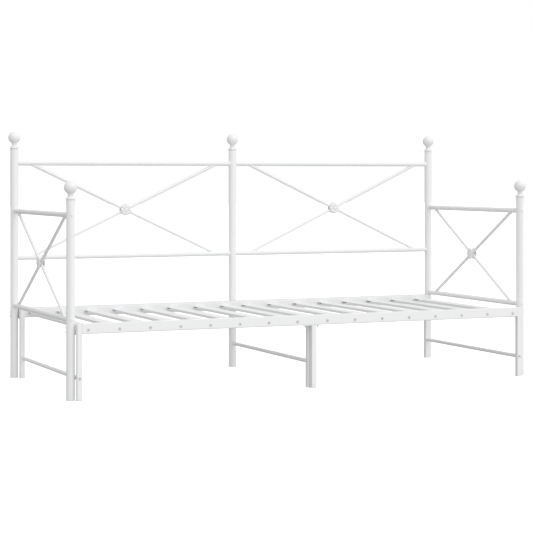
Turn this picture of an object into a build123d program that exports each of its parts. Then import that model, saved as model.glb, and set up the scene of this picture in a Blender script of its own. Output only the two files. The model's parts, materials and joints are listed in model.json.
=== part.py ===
"""Extending metal daybed.

A round-post frame with a two-bay back, two arms and a fixed slatted base.
A second slatted base on its own legs stands inside it and slides forward
to turn the single bed into a double.

Millimetres, +Z up.  The origin is on the floor at the centre of the footprint:
X runs along the length, Y from the front (-) to the back (+).
"""
import os

from build123d import *

os.makedirs("parts", exist_ok=True)

# ---------------------------------------------------------------- driving sizes
LENGTH = 2034.0            # centre to centre of the end posts
DEPTH = 809.0              # centre to centre, front post to back post
FRONT_POST_TOP = 772.0     # top of the tube, under the finial
BACK_POST_TOP = 981.0
BACK_TOP_RAIL_Z = 922.0
BACK_LOWER_RAIL_Z = 514.5
ARM_TOP_RAIL_Z = 715.5
ARM_LOWER_RAIL_Z = 310.0
BED_RAIL_TOP = 298.0       # top of the sliding base's rails
BED_RAIL_HEIGHT = 39.5

# ---------------------------------------------------------------- sections
POST_OD = 33.7
POST_WALL = 1.5
RAIL_OD = 21.3             # rails of the back and the arms
RAIL_WALL = 1.2
CROSS_OD = 13.5            # tube of the crosses
CROSS_WALL = 1.0
STRETCHER_OD = 16.0        # low stretchers between the legs
LEG_SIZE = 20.0
BED_RAIL_DEPTH = 20.0
SHEET = 1.5                # wall of square tube and pressed slats
TUBE_CORNER = 2.0          # outside corner of a drawn square tube
PLATE = 3.0

# ---------------------------------------------------------------- finial and rosette
FINIAL_HEIGHT = 75.0
BALL_R = 25.2
LIP_Z = 2.6                # underside of the collar's lip, above the post
LIP_TOP = 5.4
COLLAR_R = 19.8
COVE_TOP = 17.4            # where the collar's hollow flank meets the neck
NECK_R = 10.2
BEAD_R = 12.4
BEAD_H = 4.2
SPIGOT_LENGTH = 24.0
FIT = 0.35                 # slack of a plug in its tube
ROSETTE_D = 51.0
ROSETTE_BASE = 8.0         # back of the petals from the plane of the cross
ROSETTE_THICK = 6.0
ROSETTE_PETALS = 8
PETAL_SHARE = 0.155        # radius of a petal's tip, as a share of the diameter
ROSETTE_HUB_D = 28.0       # hub behind the petals that seats on the tubes
ROSETTE_HUB_FROM = 2.0
ROSETTE_BOSS_D = 15.0
ROSETTE_BOSS_H = 3.0

# ---------------------------------------------------------------- crosses
# From the centre of a post to a tube's end, along the rail.
BACK_CROSS_TOP_OUTER = 66.0      # at an end post
BACK_CROSS_TOP_INNER = 73.0      # at the middle post
BACK_CROSS_LOWER_OUTER = 73.0
BACK_CROSS_LOWER_INNER = 81.5
ARM_CROSS_TOP_INSET = 60.0
ARM_CROSS_LOWER_INSET = 64.0

# ---------------------------------------------------------------- sliding base
LEG_INSET_X = 26.0         # leg centre inside the post centre
LEG_FORWARD = 27.0         # front leg centre in front of the front posts
REAR_LEG_FORWARD = 31.0    # rear leg centre in front of the back posts
STRETCHER_Z = 86.3
CENTRE_LEG_X = 7.5         # the sliding centre leg stands just right of the middle
CENTRE_LEG_DEPTH = 24.5
CENTRE_PLATE_LENGTH = 76.0
STUD_SPACING = 56.0
STUD_D = 8.0
STUD_BELOW_PLATE = 10.0

# ---------------------------------------------------------------- slats
SLATS_PER_SIDE = 8
SLAT_PITCH = 127.0
SLAT_FIRST = 53.0          # first slat centre from the middle of the bed
SLAT_WIDTH = 53.0
SLAT_TOP = 283.5
SLAT_HEIGHT = 11.6
SLAT_EDGE_R = 2.5
SLAT_TONGUE = 45.0         # flat end of a slat, its flanges cut away
SLAT_TAB_WIDTH = 40.0
SLAT_REAR_TAB = 13.0
SLAT_FRONT_TAB = 21.5
SCREW_OUTSET = 14.5        # slat screw outside the slat's centre line
SCREW_Z = 273.2
FIXED_SLAT_WIDTH = 42.0
FIXED_SLAT_HEIGHT = 6.5
FIXED_SLAT_WALL = 1.2
SLOT_CLEARANCE = 0.6

# ---------------------------------------------------------------- fixed base
FIXED_RAIL_TOP = 271.0
FIXED_FRONT_RAIL_HEIGHT = 17.0
FIXED_BACK_RAIL_HEIGHT = 40.0
FIXED_BACK_RAIL_TOP = 300.0
FRONT_RAIL_SETBACK = 5.0   # fixed front rail behind the centres of the front posts
END_PLATE_WIDTH = 22.0
END_PLATE_Z = (252.0, 292.0)
CENTRE_STRETCHER_Z = 106.0

# ---------------------------------------------------------------- fasteners, glides
BOLT_D = 6.0
BOLT_HEAD_D = 10.0
BOLT_HEAD_H = 2.8
BOLT_LENGTH = 40.0
BOLT_HOLE_D = 6.6
BED_BOLT_Z = (265.5, 282.5)
SCREW_D = 5.0
SCREW_HOLE_D = 5.4
SCREW_HEAD_D = 11.0
SCREW_HEAD_H = 2.5
SCREW_LENGTH = 22.0
GLIDE_FOOT = 2.0           # thickness of a glide under the tube's end
GLIDE_PLUG = 14.0

# ---------------------------------------------------------------- derived places
X_END = LENGTH / 2
LEG_FRONT_REACH = LEG_FORWARD + LEG_SIZE / 2 + SCREW_HEAD_H
Y_CENTRE = (LEG_FRONT_REACH - BALL_R) / 2      # footprint centred on Y = 0
Y_BACK = DEPTH / 2 + Y_CENTRE
Y_FRONT = -DEPTH / 2 + Y_CENTRE
X_LEG = X_END - LEG_INSET_X
Y_LEG_FRONT = Y_FRONT - LEG_FORWARD
Y_LEG_REAR = Y_BACK - REAR_LEG_FORWARD
X_RAIL_END = X_LEG - LEG_SIZE / 2
Y_FACE = Y_LEG_FRONT - BED_RAIL_DEPTH / 2      # front face of the sliding base
Y_REAR_FACE = Y_LEG_REAR - BED_RAIL_DEPTH / 2
SLAT_BOTTOM = SLAT_TOP - SLAT_HEIGHT
POST_R = POST_OD / 2
RAIL_R = RAIL_OD / 2
Y_FIXED_FRONT = Y_FRONT + FRONT_RAIL_SETBACK

POSTS = {
    "back_left": (-X_END, Y_BACK, BACK_POST_TOP),
    "back_middle": (0.0, Y_BACK, BACK_POST_TOP),
    "back_right": (X_END, Y_BACK, BACK_POST_TOP),
    "front_left": (-X_END, Y_FRONT, FRONT_POST_TOP),
    "front_right": (X_END, Y_FRONT, FRONT_POST_TOP),
}
SIDES = {"left": -1, "right": 1}
SLAT_X = sorted(
    side * (SLAT_FIRST + i * SLAT_PITCH) for i in range(SLATS_PER_SIDE) for side in (-1, 1)
)


def write(piece, name):
    """Label a finished piece and write its STEP file."""
    piece.label = name
    export_step(piece, f"parts/{name}.step")


def line_plane(start, end):
    """A plane at the start of a straight member, looking along it."""
    return Plane(origin=start, z_dir=Vector(*end) - Vector(*start))


def bar(start, end, radius):
    """A plain solid cylinder between two points, for cutting copes and holes."""
    length = (Vector(*end) - Vector(*start)).length
    with BuildPart() as cylinder:
        with BuildSketch(line_plane(start, end)):
            Circle(radius)
        extrude(amount=length)
    return cylinder.part


def round_tube(start, end, outer, wall, cuts=()):
    """A round tube between two points, coped round whatever it meets."""
    length = (Vector(*end) - Vector(*start)).length
    with BuildPart() as tube:
        with BuildSketch(line_plane(start, end)):
            Circle(outer / 2)
            Circle(outer / 2 - wall, mode=Mode.SUBTRACT)
        extrude(amount=length)
        for cut in cuts:
            add(cut, mode=Mode.SUBTRACT)
    return tube.part


def post_core(name):
    """The outer cylinder of a post, used to cope the rails that meet it."""
    x, y, top = POSTS[name]
    return bar((x, y, 0), (x, y, top), POST_R)


# ---------------------------------------------------------------- bolt places
def frame_bolt_places():
    """Where each frame bolt's head sits on a post, and which way its shank points."""
    places = []
    for name, side in (("back_left", 1), ("front_left", 1), ("back_right", -1), ("front_right", -1)):
        x, y, _ = POSTS[name]
        for z in BED_BOLT_Z:
            places.append(((x - side * POST_R, y, z), (side, 0, 0)))
        inward = 1 if name.startswith("front") else -1
        for z in (ARM_TOP_RAIL_Z, ARM_LOWER_RAIL_Z):
            places.append(((x, y - inward * POST_R, z), (0, inward, 0)))
    return places


def slide_screw_places():
    """Head seat and direction of every screw of the sliding base."""
    places = []
    for x in SLAT_X:
        outward = 1 if x > 0 else -1
        places.append(((x + outward * SCREW_OUTSET, Y_FACE, SCREW_Z), (0, 1, 0)))
    for side in SIDES.values():
        places.append(((side * X_LEG, Y_FACE, STRETCHER_Z), (0, 1, 0)))
        places.append(((side * X_LEG, Y_LEG_REAR + LEG_SIZE / 2, STRETCHER_Z), (0, -1, 0)))
    return places


BOLT_PLACES = frame_bolt_places()
SCREW_PLACES = slide_screw_places()


def shank(seat, direction, radius, length):
    """A cylinder from a head's seat along its shank."""
    end = Vector(*seat) + Vector(*direction) * length
    return bar(seat, end, radius)


# ---------------------------------------------------------------- posts and finials
for name, (x, y, top) in POSTS.items():
    with BuildPart() as post:
        with BuildSketch(Plane((x, y, GLIDE_FOOT))):
            Circle(POST_R)
            Circle(POST_R - POST_WALL, mode=Mode.SUBTRACT)
        extrude(amount=top - GLIDE_FOOT)
        for seat, direction in BOLT_PLACES:
            if (Vector(*seat) - Vector(x, y, seat[2])).length < POST_OD:
                start = Vector(*seat) - Vector(*direction) * PLATE
                add(shank(start, direction, BOLT_HOLE_D / 2, BOLT_LENGTH + PLATE), mode=Mode.SUBTRACT)
    write(post.part, f"post_{name}")

    with BuildPart() as finial:
        with BuildSketch(Plane((x, y, top), x_dir=(1, 0, 0), z_dir=(0, -1, 0))):
            with BuildLine():
                spigot_r = POST_R - POST_WALL - FIT
                ball_z = FINIAL_HEIGHT - BALL_R
                seat_z = ball_z - (BALL_R**2 - NECK_R**2) ** 0.5
                cove = ((COLLAR_R + 2 * NECK_R) / 3, (2 * LIP_TOP + COVE_TOP) / 3)
                Polyline(
                    (0, FINIAL_HEIGHT), (0, -SPIGOT_LENGTH), (spigot_r, -SPIGOT_LENGTH),
                    (spigot_r, 0), (POST_R, 0), (POST_R, LIP_Z), (COLLAR_R, LIP_Z),
                    (COLLAR_R, LIP_TOP),
                )
                ThreePointArc((COLLAR_R, LIP_TOP), cove, (NECK_R, COVE_TOP))
                Line((NECK_R, COVE_TOP), (NECK_R, seat_z - BEAD_H))
                ThreePointArc(
                    (NECK_R, seat_z - BEAD_H), (BEAD_R, seat_z - BEAD_H / 2), (NECK_R, seat_z),
                )
                ThreePointArc((NECK_R, seat_z), (BALL_R, ball_z), (0, FINIAL_HEIGHT))
            make_face()
        revolve(axis=Axis((x, y, 0), (0, 0, 1)))
    write(finial.part, f"finial_{name}")


# ---------------------------------------------------------------- back panel
def cross(left_foot, right_foot, left_head, right_head, rails):
    """Two crossed tubes in one plane: one runs through, the other is coped to it in two lengths."""
    through = round_tube(left_foot, right_head, CROSS_OD, CROSS_WALL, rails)
    through_core = bar(left_foot, right_head, CROSS_OD / 2)
    halves = round_tube(right_foot, left_head, CROSS_OD, CROSS_WALL, [*rails, through_core])
    cores = [through_core, bar(right_foot, left_head, CROSS_OD / 2)]
    return [*through.solids(), *halves.solids()], cores


def crossing(left_foot, right_foot, left_head, right_head):
    """The point where the two tubes of a cross meet."""
    through = Vector(*right_head) - Vector(*left_foot)
    other = Vector(*left_head) - Vector(*right_foot)
    gap = Vector(*right_foot) - Vector(*left_foot)
    return Vector(*left_foot) + through * (gap.length / (through - other).length)


def rosettes(centre, normal, cores):
    """The two castings that close over the middle of a cross, petals outward."""
    castings = []
    for sign in (1, -1):
        out = Vector(*normal) * sign
        hub = Plane(origin=centre + out * ROSETTE_HUB_FROM, z_dir=out)
        back = hub.offset(ROSETTE_BASE - ROSETTE_HUB_FROM)
        petal_r = ROSETTE_D * PETAL_SHARE
        with BuildPart() as casting:
            with BuildSketch(back):
                Circle(ROSETTE_D / 2 - petal_r)
                with PolarLocations(ROSETTE_D / 2 - petal_r, ROSETTE_PETALS):
                    Circle(petal_r)
            extrude(amount=ROSETTE_THICK)
            with BuildSketch(back.offset(ROSETTE_THICK)):
                Circle(ROSETTE_BOSS_D / 2)
            extrude(amount=ROSETTE_BOSS_H, taper=20)
            with BuildSketch(hub):
                Circle(ROSETTE_HUB_D / 2)
            extrude(amount=ROSETTE_BASE - ROSETTE_HUB_FROM)
            for core in cores:
                add(core, mode=Mode.SUBTRACT)
        castings.append(casting.part.solids().sort_by(SortBy.VOLUME)[-1])
    return castings


BACK_BAYS = {
    "left": ("back_left", "back_middle"),
    "right": ("back_middle", "back_right"),
}
for bay, (left_post, right_post) in BACK_BAYS.items():
    x0 = POSTS[left_post][0]
    x1 = POSTS[right_post][0]
    ends = (post_core(left_post), post_core(right_post))
    for level, z in (("top", BACK_TOP_RAIL_Z), ("lower", BACK_LOWER_RAIL_Z)):
        rail = round_tube((x0, Y_BACK, z), (x1, Y_BACK, z), RAIL_OD, RAIL_WALL, ends)
        write(rail, f"back_{level}_rail_{bay}")
    rail_cores = [
        bar((x0, Y_BACK, z), (x1, Y_BACK, z), RAIL_R) for z in (BACK_TOP_RAIL_Z, BACK_LOWER_RAIL_Z)
    ]
    insets = [
        (BACK_CROSS_LOWER_OUTER, BACK_CROSS_TOP_OUTER),
        (BACK_CROSS_LOWER_INNER, BACK_CROSS_TOP_INNER),
    ]
    if bay == "right":
        insets.reverse()
    (left_lower, left_top), (right_lower, right_top) = insets
    corners = (
        (x0 + left_lower, Y_BACK, BACK_LOWER_RAIL_Z),
        (x1 - right_lower, Y_BACK, BACK_LOWER_RAIL_Z),
        (x0 + left_top, Y_BACK, BACK_TOP_RAIL_Z),
        (x1 - right_top, Y_BACK, BACK_TOP_RAIL_Z),
    )
    tubes, cores = cross(*corners, rail_cores)
    write(Compound(tubes), f"back_cross_{bay}")
    pair = rosettes(crossing(*corners), (0, 1, 0), cores)
    write(Compound(pair), f"back_rosettes_{bay}")

# ---------------------------------------------------------------- arms
for arm, side in SIDES.items():
    x = side * X_END
    ends = (post_core(f"front_{arm}"), post_core(f"back_{arm}"))
    for level, z in (("top", ARM_TOP_RAIL_Z), ("lower", ARM_LOWER_RAIL_Z)):
        rail = round_tube((x, Y_FRONT, z), (x, Y_BACK, z), RAIL_OD, RAIL_WALL, ends)
        write(rail, f"arm_{arm}_{level}_rail")
    rail_cores = [
        bar((x, Y_FRONT, z), (x, Y_BACK, z), RAIL_R) for z in (ARM_TOP_RAIL_Z, ARM_LOWER_RAIL_Z)
    ]
    corners = (
        (x, Y_FRONT + ARM_CROSS_LOWER_INSET, ARM_LOWER_RAIL_Z),
        (x, Y_BACK - ARM_CROSS_LOWER_INSET, ARM_LOWER_RAIL_Z),
        (x, Y_FRONT + ARM_CROSS_TOP_INSET, ARM_TOP_RAIL_Z),
        (x, Y_BACK - ARM_CROSS_TOP_INSET, ARM_TOP_RAIL_Z),
    )
    tubes, cores = cross(*corners, rail_cores)
    write(Compound(tubes), f"arm_cross_{arm}")
    pair = rosettes(crossing(*corners), (1, 0, 0), cores)
    write(Compound(pair), f"arm_rosettes_{arm}")


# ---------------------------------------------------------------- fixed base
def box_tube(low, high, along, wall=SHEET):
    """A rectangular tube filling a box; along names the axis of its open ends."""
    size = [b - a for a, b in zip(low, high)]
    centre = tuple((a + b) / 2 for a, b in zip(low, high))
    bore = [s if axis == along else s - 2 * wall for s, axis in zip(size, "xyz")]
    run = {"x": Axis.X, "y": Axis.Y, "z": Axis.Z}[along]
    with BuildPart() as tube:
        with Locations(centre):
            Box(*size)
        fillet(tube.edges().filter_by(run), radius=TUBE_CORNER)
        with Locations(centre):
            Box(*bore, mode=Mode.SUBTRACT)
    return tube.part


def end_plate(side, y, bolt_y):
    """The plate that bolts a fixed rail's end to the inside of a post."""
    inner = X_END - POST_R - PLATE
    z_mid = sum(END_PLATE_Z) / 2
    with BuildPart() as plate:
        with Locations((side * (inner + PLATE / 2), y, z_mid)):
            Box(PLATE, END_PLATE_WIDTH, END_PLATE_Z[1] - END_PLATE_Z[0])
        for z in BED_BOLT_Z:
            start = (side * (inner - PLATE), bolt_y, z)
            add(bar(start, (side * X_END, bolt_y, z), BOLT_HOLE_D / 2), mode=Mode.SUBTRACT)
    return plate.part


PLATE_X = X_END - POST_R - PLATE
fixed_back = []
for side in SIDES.values():
    x_low, x_high = sorted((0.0, side * PLATE_X))
    with BuildPart() as back_rail:
        add(box_tube(
            (x_low, Y_BACK - BED_RAIL_DEPTH / 2, FIXED_BACK_RAIL_TOP - FIXED_BACK_RAIL_HEIGHT),
            (x_high, Y_BACK + BED_RAIL_DEPTH / 2, FIXED_BACK_RAIL_TOP),
            "x",
        ))
        add(end_plate(side, Y_BACK, Y_BACK))
        add(post_core("back_middle"), mode=Mode.SUBTRACT)
    fixed_back.append(back_rail.part.solids().sort_by(SortBy.VOLUME)[-1])
write(Compound(fixed_back), "fixed_back_rail")

with BuildPart() as fixed_front:
    add(box_tube(
        (-PLATE_X, Y_FIXED_FRONT - BED_RAIL_DEPTH / 2, FIXED_RAIL_TOP - FIXED_FRONT_RAIL_HEIGHT),
        (PLATE_X, Y_FIXED_FRONT + BED_RAIL_DEPTH / 2, FIXED_RAIL_TOP),
        "x",
    ))
    for side in SIDES.values():
        add(end_plate(side, Y_FIXED_FRONT, Y_FRONT))
write(fixed_front.part, "fixed_front_rail")

HALF_LEG = LEG_SIZE / 2
centre_leg = box_tube(
    (-HALF_LEG, Y_FRONT - HALF_LEG, GLIDE_FOOT),
    (HALF_LEG, Y_FRONT + HALF_LEG, FIXED_RAIL_TOP - FIXED_FRONT_RAIL_HEIGHT),
    "z",
)
write(centre_leg, "fixed_centre_leg")

centre_stretcher = round_tube(
    (0, Y_FRONT + HALF_LEG, CENTRE_STRETCHER_Z), (0, Y_BACK, CENTRE_STRETCHER_Z),
    STRETCHER_OD, RAIL_WALL, (post_core("back_middle"),),
)
write(centre_stretcher, "fixed_centre_stretcher")

fixed_slats = [
    box_tube(
        (x - FIXED_SLAT_WIDTH / 2, Y_FIXED_FRONT - BED_RAIL_DEPTH / 2, FIXED_RAIL_TOP),
        (x + FIXED_SLAT_WIDTH / 2, Y_BACK - BED_RAIL_DEPTH / 2, FIXED_RAIL_TOP + FIXED_SLAT_HEIGHT),
        "y",
        FIXED_SLAT_WALL,
    ).solids()[0]
    for x in SLAT_X
]
write(Compound(fixed_slats), "fixed_slats")


# ---------------------------------------------------------------- fasteners
def fastener(seat, direction, head_d, head_h, shank_d, length):
    """A button head on its seat with a plain shank and a socket in the head."""
    top = Plane(origin=seat, z_dir=-Vector(*direction))
    with BuildPart() as piece:
        with BuildSketch(top):
            Circle(head_d / 2)
        extrude(amount=head_h)
        rim = piece.edges().filter_by(GeomType.CIRCLE).sort_by(lambda e: e.center().dot(top.z_dir))[-1]
        fillet(rim, radius=head_h * 0.45)
        with BuildSketch(top):
            Circle(shank_d / 2)
        extrude(amount=-length)
        with BuildSketch(top.offset(head_h)):
            RegularPolygon(head_d * 0.22, 6)
        extrude(amount=-head_h * 0.6, mode=Mode.SUBTRACT)
    return piece.part.solids()[0]


bolts = [
    fastener(seat, direction, BOLT_HEAD_D, BOLT_HEAD_H, BOLT_D, BOLT_LENGTH)
    for seat, direction in BOLT_PLACES
]
write(Compound(bolts), "frame_bolts")

screws = [
    fastener(seat, direction, SCREW_HEAD_D, SCREW_HEAD_H, SCREW_D, SCREW_LENGTH)
    for seat, direction in SCREW_PLACES
]
write(Compound(screws), "slide_screws")


# ---------------------------------------------------------------- glides
def round_glide(x, y):
    """Plastic plug in the foot of a round post."""
    with BuildPart() as glide:
        with BuildSketch(Plane((x, y, 0))):
            Circle(POST_R)
        extrude(amount=GLIDE_FOOT)
        with BuildSketch(Plane((x, y, GLIDE_FOOT))):
            Circle(POST_R - POST_WALL - FIT)
        extrude(amount=GLIDE_PLUG)
    return glide.part.solids()[0]


def square_glide(x, y, width, depth):
    """Plastic plug in the foot of a square leg."""
    inside = 2 * (SHEET + FIT)
    with BuildPart() as glide:
        with BuildSketch(Plane((x, y, 0))):
            RectangleRounded(width, depth, TUBE_CORNER)
        extrude(amount=GLIDE_FOOT)
        with BuildSketch(Plane((x, y, GLIDE_FOOT))):
            Rectangle(width - inside, depth - inside)
        extrude(amount=GLIDE_PLUG)
    return glide.part.solids()[0]


post_glides = [round_glide(x, y) for x, y, _ in POSTS.values()]
post_glides.append(square_glide(0, Y_FRONT, LEG_SIZE, LEG_SIZE))
write(Compound(post_glides), "post_glides")

Y_CENTRE_LEG = Y_FACE + CENTRE_LEG_DEPTH / 2
leg_glides = [
    square_glide(side * X_LEG, y, LEG_SIZE, LEG_SIZE)
    for side in SIDES.values()
    for y in (Y_LEG_FRONT, Y_LEG_REAR)
]
leg_glides.append(square_glide(CENTRE_LEG_X, Y_CENTRE_LEG, LEG_SIZE, CENTRE_LEG_DEPTH))
write(Compound(leg_glides), "leg_glides")

# ---------------------------------------------------------------- sliding base: rails
BED_RAIL_BOTTOM = BED_RAIL_TOP - BED_RAIL_HEIGHT
with BuildPart() as front_rail:
    add(box_tube(
        (-X_RAIL_END, Y_FACE, BED_RAIL_BOTTOM),
        (X_RAIL_END, Y_FACE + BED_RAIL_DEPTH, BED_RAIL_TOP),
        "x",
    ))
    for seat, direction in SCREW_PLACES[:len(SLAT_X)]:
        start = (seat[0], seat[1] - SHEET, seat[2])
        add(shank(start, direction, SCREW_HOLE_D / 2, BED_RAIL_DEPTH + 2 * SHEET), mode=Mode.SUBTRACT)
    for side in SIDES.values():
        x = side * STUD_SPACING / 2
        y = Y_FACE + BED_RAIL_DEPTH / 2
        stud_end = BED_RAIL_BOTTOM - PLATE - STUD_BELOW_PLATE
        add(bar((x, y, stud_end), (x, y, BED_RAIL_BOTTOM + SHEET), STUD_D / 2))
write(front_rail.part, "slide_front_rail")

with BuildPart() as rear_rail:
    add(box_tube(
        (-X_RAIL_END, Y_REAR_FACE, BED_RAIL_BOTTOM),
        (X_RAIL_END, Y_REAR_FACE + BED_RAIL_DEPTH, BED_RAIL_TOP),
        "x",
    ))
    slot = (
        FIXED_SLAT_WIDTH + 2 * SLOT_CLEARANCE,
        BED_RAIL_DEPTH + 2 * SHEET,
        FIXED_SLAT_HEIGHT + 2 * SLOT_CLEARANCE,
    )
    with Locations([(x, Y_LEG_REAR, FIXED_RAIL_TOP + FIXED_SLAT_HEIGHT / 2) for x in SLAT_X]):
        Box(*slot, mode=Mode.SUBTRACT)
write(rear_rail.part, "slide_rear_rail")

# ---------------------------------------------------------------- sliding base: legs
for side_name, side in SIDES.items():
    for end, y in (("front", Y_LEG_FRONT), ("rear", Y_LEG_REAR)):
        x = side * X_LEG
        toward_front = 1 if end == "rear" else -1
        with BuildPart() as leg:
            add(box_tube(
                (x - HALF_LEG, y - HALF_LEG, GLIDE_FOOT),
                (x + HALF_LEG, y + HALF_LEG, BED_RAIL_TOP),
                "z",
            ))
            with Locations((x, y, BED_RAIL_TOP - SHEET / 2)):
                Box(LEG_SIZE - 2 * SHEET, LEG_SIZE - 2 * SHEET, SHEET)
            outside = (x, y + toward_front * LEG_SIZE, STRETCHER_Z)
            inside = (x, y - toward_front * LEG_SIZE, STRETCHER_Z)
            add(bar(outside, inside, SCREW_HOLE_D / 2), mode=Mode.SUBTRACT)
        write(leg.part, f"slide_leg_{end}_{side_name}")
    stretcher = round_tube(
        (side * X_LEG, Y_LEG_FRONT + HALF_LEG, STRETCHER_Z),
        (side * X_LEG, Y_LEG_REAR - HALF_LEG, STRETCHER_Z),
        STRETCHER_OD, RAIL_WALL,
    )
    write(stretcher, f"slide_stretcher_{side_name}")

with BuildPart() as slide_centre_leg:
    add(box_tube(
        (CENTRE_LEG_X - HALF_LEG, Y_FACE, GLIDE_FOOT),
        (CENTRE_LEG_X + HALF_LEG, Y_FACE + CENTRE_LEG_DEPTH, BED_RAIL_BOTTOM - PLATE),
        "z",
    ))
    with BuildSketch(Plane((0, Y_FACE + BED_RAIL_DEPTH / 2, BED_RAIL_BOTTOM - PLATE))):
        Rectangle(CENTRE_PLATE_LENGTH, BED_RAIL_DEPTH)
        with Locations((-STUD_SPACING / 2, 0), (STUD_SPACING / 2, 0)):
            Circle(STUD_D / 2 + FIT, mode=Mode.SUBTRACT)
    extrude(amount=PLATE)
write(slide_centre_leg.part, "slide_centre_leg")

# ---------------------------------------------------------------- sliding base: slats
for index, x in enumerate(SLAT_X, start=1):
    outward = 1 if x > 0 else -1
    length = Y_REAR_FACE - (Y_FACE + BED_RAIL_DEPTH)
    y_start = Y_FACE + BED_RAIL_DEPTH
    with BuildPart() as slat:
        with Locations((x, y_start + length / 2, SLAT_BOTTOM + SLAT_HEIGHT / 2)):
            Box(SLAT_WIDTH, length, SLAT_HEIGHT)
        long_top = slat.edges().filter_by(Axis.Y).group_by(Axis.Z)[-1]
        fillet(long_top, radius=SLAT_EDGE_R)
        with Locations((x, y_start + length / 2, SLAT_BOTTOM + (SLAT_HEIGHT - SHEET) / 2)):
            Box(SLAT_WIDTH - 2 * SHEET, length, SLAT_HEIGHT - SHEET, mode=Mode.SUBTRACT)
        with Locations((x, Y_REAR_FACE - SLAT_TONGUE / 2, SLAT_TOP - SHEET - SLAT_HEIGHT / 2)):
            Box(SLAT_WIDTH, SLAT_TONGUE, SLAT_HEIGHT, mode=Mode.SUBTRACT)
        with Locations((x, y_start + SHEET / 2, SLAT_TOP - SLAT_FRONT_TAB / 2)):
            Box(SLAT_WIDTH - 2 * SLAT_EDGE_R, SHEET, SLAT_FRONT_TAB)
        with Locations((x, Y_REAR_FACE - SHEET / 2, SLAT_TOP - SHEET + (SLAT_REAR_TAB + SHEET) / 2)):
            Box(SLAT_TAB_WIDTH, SHEET, SLAT_REAR_TAB + SHEET)
        hole_x = x + outward * SCREW_OUTSET
        hole_start = (hole_x, y_start - SHEET, SCREW_Z)
        hole_end = (hole_x, y_start + 2 * SHEET, SCREW_Z)
        add(bar(hole_start, hole_end, SCREW_HOLE_D / 2), mode=Mode.SUBTRACT)
    write(slat.part, f"slide_slat_{index:02d}")
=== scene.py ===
# %% [markdown]
# # An extending metal daybed
# The real bed is a frame of powder-coated steel tube: five round posts with
# cast ball finials, rails between them, crossed tubes with a cast rosette
# over each crossing, and two slatted bases, one inside the other.  The tubes,
# rails, slats and screws come finished from the CAD frame.  This lesson gives
# them their coating, and models the castings and the weld beads.

# %% Load the frame
import json
import math

import bmesh
import bpy
from mathutils import Matrix, Vector


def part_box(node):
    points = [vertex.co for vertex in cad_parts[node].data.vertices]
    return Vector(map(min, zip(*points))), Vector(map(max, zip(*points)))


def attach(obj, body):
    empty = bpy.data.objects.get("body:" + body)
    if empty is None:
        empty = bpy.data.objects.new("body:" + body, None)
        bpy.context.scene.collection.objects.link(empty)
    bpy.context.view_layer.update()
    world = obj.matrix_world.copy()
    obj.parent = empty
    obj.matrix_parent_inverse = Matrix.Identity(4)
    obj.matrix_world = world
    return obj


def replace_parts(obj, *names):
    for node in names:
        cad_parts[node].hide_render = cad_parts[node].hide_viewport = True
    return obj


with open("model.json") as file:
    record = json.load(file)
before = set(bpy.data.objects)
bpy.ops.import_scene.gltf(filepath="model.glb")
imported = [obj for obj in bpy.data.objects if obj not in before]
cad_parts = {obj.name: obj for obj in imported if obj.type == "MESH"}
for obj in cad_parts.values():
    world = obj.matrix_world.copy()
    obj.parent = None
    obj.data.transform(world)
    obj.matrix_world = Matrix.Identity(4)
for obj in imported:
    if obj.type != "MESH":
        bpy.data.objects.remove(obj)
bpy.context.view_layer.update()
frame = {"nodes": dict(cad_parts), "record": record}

MM = 0.001
nodes = frame["nodes"]

# %% [markdown]
# Places are read from the frame, never typed in.  A part's box gives its
# middle line and its ends, and two small helpers keep that in one place.
# Lengths are in metres, so millimetres are written as multiples of MM.

# %% Read places from the frame
def middle(node):
    """The centre of a part's box."""
    low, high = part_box(node)
    return (low + high) / 2


def top_of(node):
    """The height of a part's highest point."""
    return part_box(node)[1].z


POSTS = sorted(n for n in nodes if n.startswith("post_") and n != "post_glides")
post_low, post_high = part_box(POSTS[0])
post_radius = (post_high.x - post_low.x) / 2
print("posts of radius", round(post_radius / MM, 2), "mm:", POSTS)

# %% [markdown]
# Shader maths reads best as plain arithmetic.  A Signal wraps one socket that
# carries a number and overloads the operators, so `1 - mask` adds the Math
# node for us.  A Finish holds one material and has a single method that makes
# any other node: its type, then its settings, then its socket values or links.

# %% A small language for materials
class Signal:
    """One number in a material, with Python's arithmetic."""

    def __init__(self, finish, socket):
        self.finish = finish
        self.socket = socket

    def _math(self, operation, first, second):
        return self.finish.node("ShaderNodeMath", {"operation": operation}, {0: first, 1: second})

    def __add__(self, other):
        return self._math("ADD", self, other)

    def __radd__(self, other):
        return self._math("ADD", other, self)

    def __sub__(self, other):
        return self._math("SUBTRACT", self, other)

    def __rsub__(self, other):
        return self._math("SUBTRACT", other, self)

    def __mul__(self, other):
        return self._math("MULTIPLY", self, other)

    def __rmul__(self, other):
        return self._math("MULTIPLY", other, self)


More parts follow.
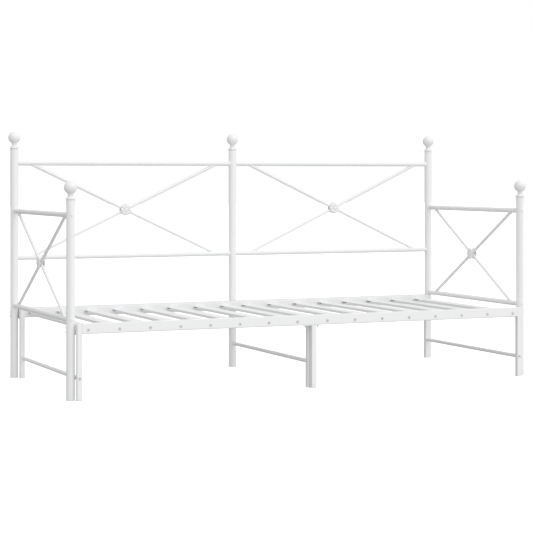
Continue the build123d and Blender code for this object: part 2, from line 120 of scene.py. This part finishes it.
class Finish:
    """One node material, filled through node()."""

    def __init__(self, name):
        self.material = bpy.data.materials.new(name)
        self.material.use_nodes = True
        self.tree = self.material.node_tree
        self.tree.nodes.clear()

    def node(self, kind, settings=None, sockets=None, output=0):
        """Add a node: its settings first, then values or links for its sockets."""
        made = self.tree.nodes.new(kind)
        for key, value in (settings or {}).items():
            if key == "stops":
                for stop, (place, shade) in zip(made.color_ramp.elements, value):
                    stop.position = place
                    stop.color = (shade, shade, shade, 1)
            else:
                setattr(made, key, value)
        for key, value in (sockets or {}).items():
            if isinstance(value, Signal):
                self.tree.links.new(value.socket, made.inputs[key])
            else:
                made.inputs[key].default_value = value
        return Signal(self, made.outputs[output]) if made.outputs else None

    def place(self, stretch=(1, 1, 1)):
        """Object coordinates in metres, stretched along each axis."""
        coords = self.node("ShaderNodeTexCoord", output="Object")
        return self.node("ShaderNodeMapping", None, {"Vector": coords, "Scale": stretch})

    def noise(self, where, scale, detail=2.0, rough=0.5):
        """Smooth noise from 0 to 1 at a scale given per metre."""
        return self.node(
            "ShaderNodeTexNoise", None,
            {"Vector": where, "Scale": scale, "Detail": detail, "Roughness": rough},
        )

    def ramp(self, signal, *stops):
        """A number pushed through grey stops of (place, shade)."""
        return self.node("ShaderNodeValToRGB", {"stops": stops}, {"Fac": signal})

    def tint(self, signal, low, high):
        """A colour between two colours."""
        return self.node(
            "ShaderNodeMix", {"data_type": "RGBA"},
            {"Factor": signal, 6: (*low, 1), 7: (*high, 1)}, output=2,
        )

    def bump(self, height, distance):
        """A bump whose height of 1 is worth distance metres."""
        sockets = {"Height": height, "Distance": distance, "Strength": 1.0}
        return self.node("ShaderNodeBump", None, sockets)

    def surface(self, **sockets):
        """Close the material with a Principled surface."""
        named = {key.replace("_", " "): value for key, value in sockets.items()}
        shader = self.node("ShaderNodeBsdfPrincipled", None, named)
        self.node("ShaderNodeOutputMaterial", None, {"Surface": shader})
        return self.material


print("a material language of", len([m for m in dir(Finish) if not m.startswith("_")]), "words")

# %% [markdown]
# ## The powder coat
# Powder is sprayed on dry and melts in an oven.  It levels into a satin skin
# with a fine orange peel, about two millimetres from crest to crest, and the
# film is never quite even, so its gloss drifts along a tube.  Close to the
# floor the coat is a little duller from handling, and its colour is darkened
# there with painted shade where the shade at the feet falls.  Two noises of
# different size make the bump, a slow one moves colour and gloss, and a very
# fine one leaves a few darker specks.

# %% Powder coat on tube
SATIN = {"Coat_Roughness": 0.22, "Specular_IOR_Level": 0.45}
FLOOR_SHADE_AND_SCUFF_PER_METRE = 8.0  # the painted floor shade and the scuffing fade out within a few centimetres of the floor
GRAIN_TO_PEEL = 5      # the fine grain has this many crests to one of the peel


def powder_coat(name, shade, peel, peel_depth, gloss):
    """Powder coat; peel is its crests per metre and gloss its least roughness."""
    finish = Finish(name)
    where = finish.place()
    drift = finish.noise(where, scale=7.0, detail=3.0)
    crests = finish.noise(where, scale=peel)
    grain = finish.noise(where, scale=peel * GRAIN_TO_PEEL, detail=1.0)
    dots = finish.noise(where, scale=1900.0, detail=0.0)
    specks = finish.ramp(dots, (0.27, 1.0), (0.31, 0.0))
    height = finish.node("ShaderNodeSeparateXYZ", None, {0: where}, output="Z")
    # painted shade: the colour darkens towards the floor, and the coat is also rougher there from
    # handling
    floor_shade_and_scuff = finish.ramp(height * FLOOR_SHADE_AND_SCUFF_PER_METRE + drift * 0.35, (0.16, 1.0), (0.5, 0.0))
    thin = tuple(s * 0.965 for s in shade)
    # the darker colour mixes painted floor shade with the real specks
    specks_and_floor_shade = finish.tint(floor_shade_and_scuff * 0.5 + specks * 0.35, shade, tuple(s * 0.9 for s in shade))
    mixed = finish.node(
        "ShaderNodeMix", {"data_type": "RGBA"},
        {"Factor": drift * 0.9, 6: specks_and_floor_shade, 7: (*thin, 1)}, output=2,
    )
    relief = finish.bump(crests * 0.8 + grain * 0.2, peel_depth)
    return finish.surface(
        Base_Color=mixed,
        Roughness=drift * 0.16 + gloss + floor_shade_and_scuff * 0.12,
        Normal=relief,
        Coat_Weight=drift * 0.12,
        **SATIN,
    )


WHITE = (0.875, 0.878, 0.885)
frame_paint = powder_coat(
    "powder_coat_frame", WHITE, peel=430.0, peel_depth=0.12 * MM, gloss=0.30
)
base_paint = powder_coat(
    "powder_coat_base", WHITE, peel=380.0, peel_depth=0.16 * MM, gloss=0.33
)
print("coats:", frame_paint.name, base_paint.name)

# %% [markdown]
# ## The castings
# Finials and rosettes are sand cast and then coated like the tubes.  The sand
# leaves a grain of about a millimetre that the powder softens.  So the bump is
# deeper and finer than on the drawn tube, and a cell pattern gives the grain
# its pitted look.

# %% Coated castings
def coated_casting(name, shade):
    """Powder coat over a sand-cast skin."""
    finish = Finish(name)
    where = finish.place()
    drift = finish.noise(where, scale=26.0, detail=3.0)
    sand = finish.noise(where, scale=900.0, detail=3.0, rough=0.6)
    pits = finish.node(
        "ShaderNodeTexVoronoi", {"feature": "SMOOTH_F1"},
        {"Vector": where, "Scale": 640.0, "Smoothness": 0.6},
    )
    low = tuple(s * 0.93 for s in shade)
    return finish.surface(
        Base_Color=finish.tint(drift * 0.8 + sand * 0.2, shade, low),
        Roughness=drift * 0.14 + 0.32,
        Normal=finish.bump(sand * 0.6 + pits * 0.4, 0.18 * MM),
        Coat_Weight=drift * 0.2,
        Coat_Roughness=0.25,
        Specular_IOR_Level=0.45,
    )


casting_coat = coated_casting("powder_coat_casting", WHITE)
print("castings wear", casting_coat.name)

# %% [markdown]
# ## The slats
# A slat is rolled from strip and coated flat.  The rolls leave faint lines
# along its length, and the strip is never dead flat across, so a stretched
# noise makes the lines and a slow one lets the light wander over the face.

# %% Coated slats
def coated_slat(name, shade):
    """Powder coat over roll-formed strip that runs along Y."""
    finish = Finish(name)
    along = finish.place(stretch=(1, 0.012, 1))
    where = finish.place()
    lines = finish.noise(along, scale=330.0)
    drift = finish.noise(where, scale=5.0)
    crests = finish.noise(where, scale=410.0)
    low = tuple(s * 0.96 for s in shade)
    return finish.surface(
        Base_Color=finish.tint(lines * 0.5 + drift * 0.5, shade, low),
        Roughness=lines * 0.1 + drift * 0.1 + 0.3,
        Normal=finish.bump(lines * 0.55 + crests * 0.45, 0.16 * MM),
        Coat_Weight=drift * 0.12,
        **SATIN,
    )


slat_coat = coated_slat("powder_coat_slat", WHITE)
print("slats wear", slat_coat.name)

# %% [markdown]
# ## Screws and foot plugs
# The button heads are coated off-white before they are driven, and the driver
# rubs the coat thin, so they look a shade greyer than the rail.  The foot
# plugs are moulded polyethylene: matt, slightly waxy, with a fine grain from
# the mould.

# %% Screws and plugs
def coated_screw(name):
    """Rubbed off-white coat on steel heads."""
    finish = Finish(name)
    where = finish.place()
    patches = finish.noise(where, scale=520.0, detail=4.0, rough=0.65)
    rub = finish.ramp(patches, (0.42, 0.0), (0.62, 1.0))
    grain = finish.noise(where, scale=1500.0)
    return finish.surface(
        Base_Color=finish.tint(rub, (0.68, 0.68, 0.69), (0.54, 0.54, 0.55)),
        Metallic=rub * 0.25,
        Roughness=0.42 - rub * 0.12,
        Normal=finish.bump(grain * 0.5 + rub * 0.5, 0.06 * MM),
    )


def moulded_plug(name):
    """Waxy moulded plastic with a fine mould grain."""
    finish = Finish(name)
    where = finish.place()
    grain = finish.noise(where, scale=1300.0, rough=0.6)
    dust = finish.noise(where, scale=60.0, detail=4.0, rough=0.6)
    return finish.surface(
        Base_Color=finish.tint(dust, (0.8, 0.81, 0.81), (0.66, 0.67, 0.67)),
        Roughness=dust * 0.15 + 0.45,
        Normal=finish.bump(grain, 0.1 * MM),
    )


screw_coat = coated_screw("coated_screw")
plug_plastic = moulded_plug("moulded_plug")
print("fasteners:", screw_coat.name, "plugs:", plug_plastic.name)

# %% [markdown]
# The frame's own parts keep their shapes and only change their skin.  The
# record says which finish each part has, so the loop reads it from there.  The
# heads of the frame's bolts are touched up with the frame's own white.

# %% Dress the frame's own parts
SKINS = {
    "frame_paint": frame_paint,
    "base_paint": base_paint,
    "castings": casting_coat,
    "slats": slat_coat,
    "bolts": screw_coat,
    "glides": plug_plastic,
}
for entry in frame["record"]["subparts"]:
    mesh = nodes[entry["node"]].data
    mesh.materials.clear()
    mesh.materials.append(SKINS[entry["material_slot"]])
nodes["frame_bolts"].data.materials[0] = frame_paint

# %% [markdown]
# ## Making a piece
# Each new piece is a bmesh that becomes an object at the origin, with its
# place in its mesh.  One helper does the dull part: it merges what the
# operators left double, turns the faces outward, shades smooth below a chosen
# crease angle, and ties the piece to its body.

# %% The piece maker
FIXED = "fixed_frame"
WELD_UP_TO = 0.01 * MM


def make_piece(name, bm, material, body, crease=40.0):
    """Turn a bmesh into a finished piece that rides on a body."""
    bmesh.ops.remove_doubles(bm, verts=bm.verts, dist=WELD_UP_TO)
    bmesh.ops.recalc_face_normals(bm, faces=bm.faces)
    mesh = bpy.data.meshes.new(name)
    bm.to_mesh(mesh)
    bm.free()
    mesh.shade_smooth()
    mesh.set_sharp_from_angle(angle=math.radians(crease))
    mesh.materials.append(material)
    piece = bpy.data.objects.new(name, mesh)
    bpy.context.scene.collection.objects.link(piece)
    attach(piece, body)
    return piece


def turned(profile, steps):
    """Spin a profile of (radius, height) points round Z into a closed solid."""
    bm = bmesh.new()
    line = [bm.verts.new((r, 0, z)) for r, z in profile]
    edges = [bm.edges.new(pair) for pair in zip(line, line[1:])]
    bmesh.ops.spin(
        bm, geom=line + edges, cent=(0, 0, 0), axis=(0, 0, 1),
        angle=math.tau, steps=steps, use_merge=True,
    )
    return bm


def arc(centre, radius, start, end, steps):
    """Points (r, z) on an arc, angles in degrees from the outward direction."""
    angles = [math.radians(start + (end - start) * i / steps) for i in range(steps + 1)]
    return [(centre[0] + radius * math.cos(a), centre[1] + radius * math.sin(a)) for a in angles]


print("tools ready: make_piece, turned, arc")

# %% [markdown]
# ## The finials
# A finial is one casting: a spigot that drops into the post, a collar whose
# lip stands out over a groove at the joint and whose flank sweeps up in a
# hollow, a short neck, a bead and the ball.  It is a turned shape, so its half
# outline is spun once.  Arcs give the ball and the mouldings, and the points
# between them give the spigot and the small steps at the joint.

# %% Model the finials
finial_low, finial_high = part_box("finial_back_left")
BALL = (finial_high.x - finial_low.x) / 2 - 0.05 * MM
SPIGOT = post_radius - 2.0 * MM
SPIGOT_DEPTH = 22 * MM
CHAMFER = 1 * MM
LIP = 19.6 * MM
NECK = 9.6 * MM
# Heights above the top of the post.
SEAT_Z, STEP_Z, GROOVE_Z, LEDGE_Z, LIP_Z = 0.2 * MM, 1.2 * MM, 2.6 * MM, 3.8 * MM, 5.4 * MM
HOLLOW_Z, NECK_Z = 17.6 * MM, 18.4 * MM
# Radii of the small arcs, and how far the bead hangs below the ball's seat.
GROOVE_ARC = LIP_ARC = 1.4 * MM
HOLLOW_ARC, NECK_ARC, BEAD_ARC, BEAD_DROP = 9.8 * MM, 1.2 * MM, 2.6 * MM, 2.9 * MM
FINIAL_STEPS = 64


def finial_outline(collar_z, crown_z):
    """The half outline from the spigot's foot to the ball's crown, in metres."""
    ball_z = crown_z - BALL
    sink = math.degrees(math.asin(NECK / BALL))
    seat_z = ball_z - BALL * math.cos(math.radians(sink))
    foot_z = collar_z - SPIGOT_DEPTH
    outline = [(0, foot_z), (SPIGOT - CHAMFER, foot_z)]
    outline += [(SPIGOT, foot_z + CHAMFER), (SPIGOT, collar_z + SEAT_Z)]
    outline += [(post_radius, collar_z + SEAT_Z), (post_radius, collar_z + STEP_Z)]
    outline += arc((post_radius - 0.2 * MM, collar_z + GROOVE_Z), GROOVE_ARC, 264, 180, 6)
    outline += [(post_radius - 1.6 * MM, collar_z + LEDGE_Z)]
    outline += arc((LIP - LIP_ARC, collar_z + LIP_Z), LIP_ARC, -90, 60, 8)
    outline += arc((LIP + 1.2 * MM, collar_z + HOLLOW_Z), HOLLOW_ARC, 256, 186, 16)
    outline += arc((NECK + 0.2 * MM, collar_z + NECK_Z), NECK_ARC, 250, 110, 8)
    outline += arc((NECK - 0.3 * MM, seat_z - BEAD_DROP), BEAD_ARC, -70, 70, 12)
    outline += arc((0, ball_z), BALL, sink - 89, 90, 40)
    return outline[:-1] + [(0, crown_z)]


for post in POSTS:
    node = post.replace("post_", "finial_")
    centre = middle(post)
    bm = turned(finial_outline(top_of(post), top_of(node)), FINIAL_STEPS)
    bmesh.ops.translate(bm, verts=bm.verts, vec=(centre.x, centre.y, 0))
    name = node.replace("finial", "ball_finial")
    finial = make_piece(name, bm, casting_coat, FIXED)
    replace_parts(finial, node)
print("five finials with balls of", round(2 * BALL / MM, 1), "mm")

# %% [markdown]
# ## The rosettes
# A rosette is a small eight-petalled casting.  Two of them close over each
# crossing of the tubes, back to back, each on a short hub that seats on the
# tubes.  Each petal is a rounded lobe that rises to a crown and falls into a
# valley at its sides, round a raised ring and a domed boss.  A turned disc has
# the right number of rings already, so the petals are pressed into it by
# moving its points.

# %% Model the rosettes
PETALS = 8
pair_low, pair_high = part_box("back_rosettes_left")
ROSETTE_R = (pair_high.x - pair_low.x) / 2
ROSETTE_BACK = 8.0 * MM
ROSETTE_FACE = (pair_high.y - pair_low.y) / 2 - 3.4 * MM
HUB_R = 14.0 * MM
HUB_FOOT = 2.0 * MM
BOSS_R = 7.2 * MM
RING_R = 9.2 * MM
RING_EDGE = 1.4 * MM    # from the ring's crest out to where the petals begin
RING_WIDTH = 0.7 * MM
RING_RISE, RING_SINK = 1.3 * MM, 0.4 * MM
BOSS_RISE, BOSS_FOOT = 3.0 * MM, 0.4 * MM
PETAL_RISE, RIM_FALL, VEIN_DEPTH = 2.4 * MM, 2.6 * MM, 0.5 * MM
VEIN_WIDTH = 0.09       # as a share of half a petal
WAIST = 0.2             # how far the rim is drawn in between two petals
STEPS_PER_PETAL = 16


def rosette_disc():
    """A turned disc on its hub, with enough rings to press petals into."""
    rings = [0.0, 2, 4, 5.6, 6.6, 7.2, 7.6, 8.0, 8.6, 9.2, 9.8, 10.4, 11.2, 12.4]
    rings += [14, 16, 18, 20, 22, 23.6, 24.8, ROSETTE_R / MM]
    hub = [(0, HUB_FOOT), (HUB_R - CHAMFER, HUB_FOOT)]
    hub += [(HUB_R, HUB_FOOT + CHAMFER), (HUB_R, ROSETTE_BACK)]
    face = [(r * MM, ROSETTE_FACE) for r in rings]
    return turned(hub + [(ROSETTE_R, ROSETTE_BACK)] + face[::-1], PETALS * STEPS_PER_PETAL)


def press_petals(bm):
    """Lobe the rim, crown the petals, and raise the ring and the boss."""
    for vert in bm.verts:
        r = math.hypot(vert.co.x, vert.co.y)
        turn = math.atan2(vert.co.y, vert.co.x) * PETALS / math.tau + 0.5
        across = 2 * (turn - math.floor(turn)) - 1
        lobe = math.sqrt(1 - min(1.0, across * across) * 0.96)
        out = min(1.0, max(0.0, (r - RING_R) / (ROSETTE_R - RING_R)))
        pull = 1 - out * WAIST * (1 - lobe)
        vert.co.x *= pull
        vert.co.y *= pull
        if vert.co.z < (ROSETTE_BACK + ROSETTE_FACE) / 2:
            continue
        if r <= BOSS_R:
            lift = BOSS_RISE * math.sqrt(max(0.0, 1 - (r / (BOSS_R * 1.05)) ** 2)) + BOSS_FOOT
        elif r <= RING_R + RING_EDGE:
            lift = RING_RISE * math.exp(-((r - RING_R) / RING_WIDTH) ** 2) - RING_SINK
        else:
            crown = math.sin(math.pi * min(1.0, out * 0.86 + 0.1)) ** 0.7
            vein = VEIN_DEPTH * math.exp(-(across / VEIN_WIDTH) ** 2) * (1 - out) * out * 4
            lift = (lobe - 0.45) * PETAL_RISE * crown - out**4 * RIM_FALL - vein
        vert.co.z += lift


def rosette_piece(node, normal, name):
    """One casting of a pair, petals along the given normal."""
    bm = rosette_disc()
    press_petals(bm)
    turn = Vector((0, 0, 1)).rotation_difference(normal).to_matrix().to_4x4()
    bmesh.ops.transform(bm, verts=bm.verts, matrix=Matrix.Translation(middle(node)) @ turn)
    return make_piece(name, bm, casting_coat, FIXED, crease=70.0)


for node in sorted(n for n in nodes if "rosettes" in n):
    facing = Vector((1, 0, 0)) if node.startswith("arm") else Vector((0, 1, 0))
    for label, sign in (("outer", 1), ("inner", -1)):
        name = node.replace("rosettes", "rosette") + "_" + label
        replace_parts(rosette_piece(node, facing * sign, name), node)
print("eight rosette castings over four crossings")

# %% [markdown]
# ## The weld beads
# The back rails are welded to the posts and the crosses to the rails.  A
# fillet weld is a soft ring that follows the line where two tubes meet, which
# dips on a round post.  A torus does it: a small circle is spun round the
# tube, and each point is then pushed out to its host's curve.

# %% A weld on a round tube
RIPPLES = 24
RIPPLE_SHARE = 0.12  # of the bead's radius
POST_BEAD = 1.5 * MM
CROSS_BEAD = 1.2 * MM


def weld_ring(foot, run, tube_r, host_r, host_axis, bead):
    """A bead round a tube that meets a round host.  foot is on the host's
    centre line, run points along the tube and host_axis along the host, and
    bead is the bead's own radius."""
    run = run.normalized()
    bm = bmesh.new()
    circle = bmesh.ops.create_circle(bm, radius=bead, segments=8)
    turn = Matrix.Rotation(math.pi / 2, 4, "X")
    outward = Matrix.Translation((tube_r, 0, 0)) @ turn
    bmesh.ops.transform(bm, verts=circle["verts"], matrix=outward)
    bmesh.ops.spin(
        bm, geom=bm.verts[:] + bm.edges[:], cent=(0, 0, 0), axis=(0, 0, 1),
        angle=math.tau, steps=32, use_merge=True,
    )
    aim = run.to_track_quat("Z", "Y").to_matrix().to_4x4()
    bmesh.ops.transform(bm, verts=bm.verts, matrix=aim)
    side = host_axis.cross(run).normalized()
    lean = run.dot(host_axis)
    for vert in bm.verts:
        off = vert.co.dot(side)
        up = (vert.co - run * vert.co.dot(run)).dot(host_axis)
        reach = math.sqrt(max(0.0, host_r**2 - off**2)) - up * lean
        wave = RIPPLE_SHARE * bead * math.sin(RIPPLES * math.atan2(off, up))
        vert.co += run * (reach / math.sqrt(1 - lean * lean) + wave)
    bmesh.ops.translate(bm, verts=bm.verts, vec=foot)
    return bm


print("weld_ring follows a tube round its host")

# %% [markdown]
# The back rails run from post to post, so each has a bead at both ends.  The
# beads of all four rails go into one piece, as they would be one run of work
# at the bench.

# %% Weld the back rails to the posts
def join_into(target, source):
    """Copy one bmesh into another and free it."""
    scratch = bpy.data.meshes.new("scratch")
    source.to_mesh(scratch)
    source.free()
    target.from_mesh(scratch)
    bpy.data.meshes.remove(scratch)


UP = Vector((0, 0, 1))
rail_low, rail_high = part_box("back_top_rail_left")
RAIL_R = (rail_high.z - rail_low.z) / 2
post_welds = bmesh.new()
for bay, left, right in (
    ("left", "post_back_left", "post_back_middle"),
    ("right", "post_back_middle", "post_back_right"),
):
    for level in ("top", "lower"):
        height = middle(f"back_{level}_rail_{bay}").z
        for post, direction in ((left, 1), (right, -1)):
            spot = middle(post)
            foot = Vector((spot.x, spot.y, height))
            run = Vector((direction, 0, 0))
            ring = weld_ring(foot, run, RAIL_R, post_radius, UP, POST_BEAD)
            join_into(post_welds, ring)
make_piece("back_rail_welds", post_welds, frame_paint, FIXED)
print("eight beads on the back posts")

# %% [markdown]
# The ends of a cross are found from its own points: those within a rail's
# radius of a rail's height belong to an end, and their mean lies on the
# tube's centre line.

# %% Weld the crosses to the rails
cross_low, cross_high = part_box("back_cross_left")
CROSS_R = (cross_high.y - cross_low.y) / 2
END_REACH = 1.05  # of the rail's radius, to catch the whole coped end


def cross_welds(cross, top_rail, lower_rail, along):
    """Beads at the four ends of one cross; along is 0 for X or 1 for Y."""
    bm = bmesh.new()
    low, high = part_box(cross)
    upper, lower = middle(top_rail).z, middle(lower_rail).z
    mesh = nodes[cross].data
    ends = {}
    for vert in mesh.vertices:
        level = upper if vert.co.z > (upper + lower) / 2 else lower
        near_end = abs(vert.co.z - level) < RAIL_R * END_REACH
        side = vert.co[along] > (low[along] + high[along]) / 2
        if near_end:
            ends.setdefault((level == upper, side), []).append(vert.co.copy())
    tips = {key: sum(found, Vector()) / len(found) for key, found in ends.items()}
    for (is_top, side), tip in tips.items():
        other = tips[(not is_top, not side)]
        run = (other - tip).normalized()
        host = Vector((1, 0, 0)) if along == 0 else Vector((0, 1, 0))
        level = upper if is_top else lower
        foot = tip + run * ((level - tip.z) / run.z)
        join_into(bm, weld_ring(foot, run, CROSS_R, RAIL_R, host, CROSS_BEAD))
    return bm


for bay in ("left", "right"):
    beads = cross_welds(f"back_cross_{bay}", f"back_top_rail_{bay}", f"back_lower_rail_{bay}", 0)
    make_piece(f"back_cross_welds_{bay}", beads, frame_paint, FIXED)
for arm in ("left", "right"):
    beads = cross_welds(f"arm_cross_{arm}", f"arm_{arm}_top_rail", f"arm_{arm}_lower_rail", 1)
    make_piece(f"arm_cross_welds_{arm}", beads, frame_paint, FIXED)
print("sixteen beads on tubes of radius", round(CROSS_R / MM, 2), "mm")

# %% [markdown]
# ## Floor and light
# A furniture studio is a white floor under a very large soft light.  Here the
# light is the sky itself: a smooth gradient that is brightest from above, from
# the front and from the right, so that every tube turns from grey on its left
# to white on its right.  The camera sees plain white instead of the gradient.
# The floor does not light the bed from below, which keeps the undersides of
# the rails readable.

# %% The sky
world = bpy.data.worlds.new("soft_studio")
bpy.context.scene.world = world
world.use_nodes = True
sky = world.node_tree
sky.nodes.clear()


def sky_node(kind, settings, sockets):
    """Add a node to the sky: settings first, then values or links."""
    made = sky.nodes.new(kind)
    for key, value in settings.items():
        setattr(made, key, value)
    for key, value in sockets.items():
        if isinstance(value, bpy.types.NodeSocket):
            sky.links.new(value, made.inputs[key])
        else:
            made.inputs[key].default_value = value
    return made


LIGHT_LEAN = (0.09, -0.27, 0.325)
LIGHT_LEVEL = 0.745
direction = sky_node("ShaderNodeTexCoord", {}, {})
lean = sky_node(
    "ShaderNodeVectorMath", {"operation": "DOT_PRODUCT"},
    {0: direction.outputs["Generated"], 1: LIGHT_LEAN},
)
level = sky_node(
    "ShaderNodeMath", {"operation": "ADD"}, {0: lean.outputs["Value"], 1: LIGHT_LEVEL}
)
lamp = sky_node(
    "ShaderNodeBackground", {}, {"Color": (1.0, 1.0, 1.0, 1), "Strength": level.outputs[0]}
)
backdrop = sky_node("ShaderNodeBackground", {}, {"Color": (1, 1, 1, 1), "Strength": 1.0})
seen = sky_node("ShaderNodeLightPath", {}, {})
mix = sky_node(
    "ShaderNodeMixShader", {},
    {0: seen.outputs["Is Camera Ray"], 1: lamp.outputs[0], 2: backdrop.outputs[0]},
)
sky_node("ShaderNodeOutputWorld", {}, {"Surface": mix.outputs[0]})
bpy.context.scene.view_settings.view_transform = "Standard"
print("sky level", LIGHT_LEVEL, "leaning", LIGHT_LEAN)

# %% The floor
FLOOR_HALF = 40.0
FLOOR_DROP = 0.5 * MM
FLOOR_GLOW = 0.36


def studio_floor():
    """A large pale sheet just under the feet."""
    finish = Finish("studio_floor")
    cloud = finish.noise(finish.place(), scale=0.7)
    material = finish.surface(
        Base_Color=finish.tint(cloud, (0.93, 0.93, 0.935), (0.96, 0.96, 0.96)),
        Roughness=0.9,
        Specular_IOR_Level=0.0,
        Emission_Color=(1, 1, 1, 1),
        Emission_Strength=FLOOR_GLOW,
    )
    bm = bmesh.new()
    bmesh.ops.create_grid(bm, x_segments=4, y_segments=4, size=FLOOR_HALF)
    bmesh.ops.translate(bm, verts=bm.verts, vec=(0, 0, -FLOOR_DROP))
    mesh = bpy.data.meshes.new("studio_floor")
    bm.to_mesh(mesh)
    bm.free()
    mesh.materials.append(material)
    floor = bpy.data.objects.new("studio_floor", mesh)
    floor.visible_diffuse = False
    floor.visible_glossy = False
    bpy.context.scene.collection.objects.link(floor)


studio_floor()
print("floor", 2 * FLOOR_HALF, "m across")

# %% [markdown]
# A single weak and very wide sun from the upper right adds a little shape to
# the ball finials and the screw heads.

# %% The key light
SUN_ENERGY = 0.5
SUN_WIDTH = math.radians(40)
TO_SUN = Vector((0.45, -0.45, 0.8))
sun = bpy.data.lights.new("key_sun", "SUN")
sun.energy = SUN_ENERGY
sun.angle = SUN_WIDTH
sun.color = (1.0, 0.995, 0.985)
key = bpy.data.objects.new("key_sun", sun)
key.rotation_euler = TO_SUN.to_track_quat("Z", "Y").to_euler()
bpy.context.scene.collection.objects.link(key)
print("sun of", sun.energy, "at", [round(math.degrees(a)) for a in key.rotation_euler])

# %% [markdown]
# ## The camera
# The bed is looked at from just above the height of the arms, with the camera
# level so that the posts stay upright.  The view is lowered by shifting the
# lens instead of tilting it.

# %% The camera
SENSOR = 36.0
LENS = 113.2
LENS_SHIFT = -0.1717
LENS_PLACE = (-2.951, -6.614, 0.870)
HEADING = math.radians(-23.95)
camera_data = bpy.data.cameras.new("camera")
camera_data.sensor_width = SENSOR
camera_data.lens = LENS
camera_data.shift_y = LENS_SHIFT
camera_data.clip_end = 200.0
camera = bpy.data.objects.new("camera", camera_data)
camera.location = LENS_PLACE
camera.rotation_euler = (math.radians(90), 0, HEADING)
bpy.context.scene.collection.objects.link(camera)
bpy.context.scene.camera = camera
print("camera at", [round(c, 3) for c in camera.location])
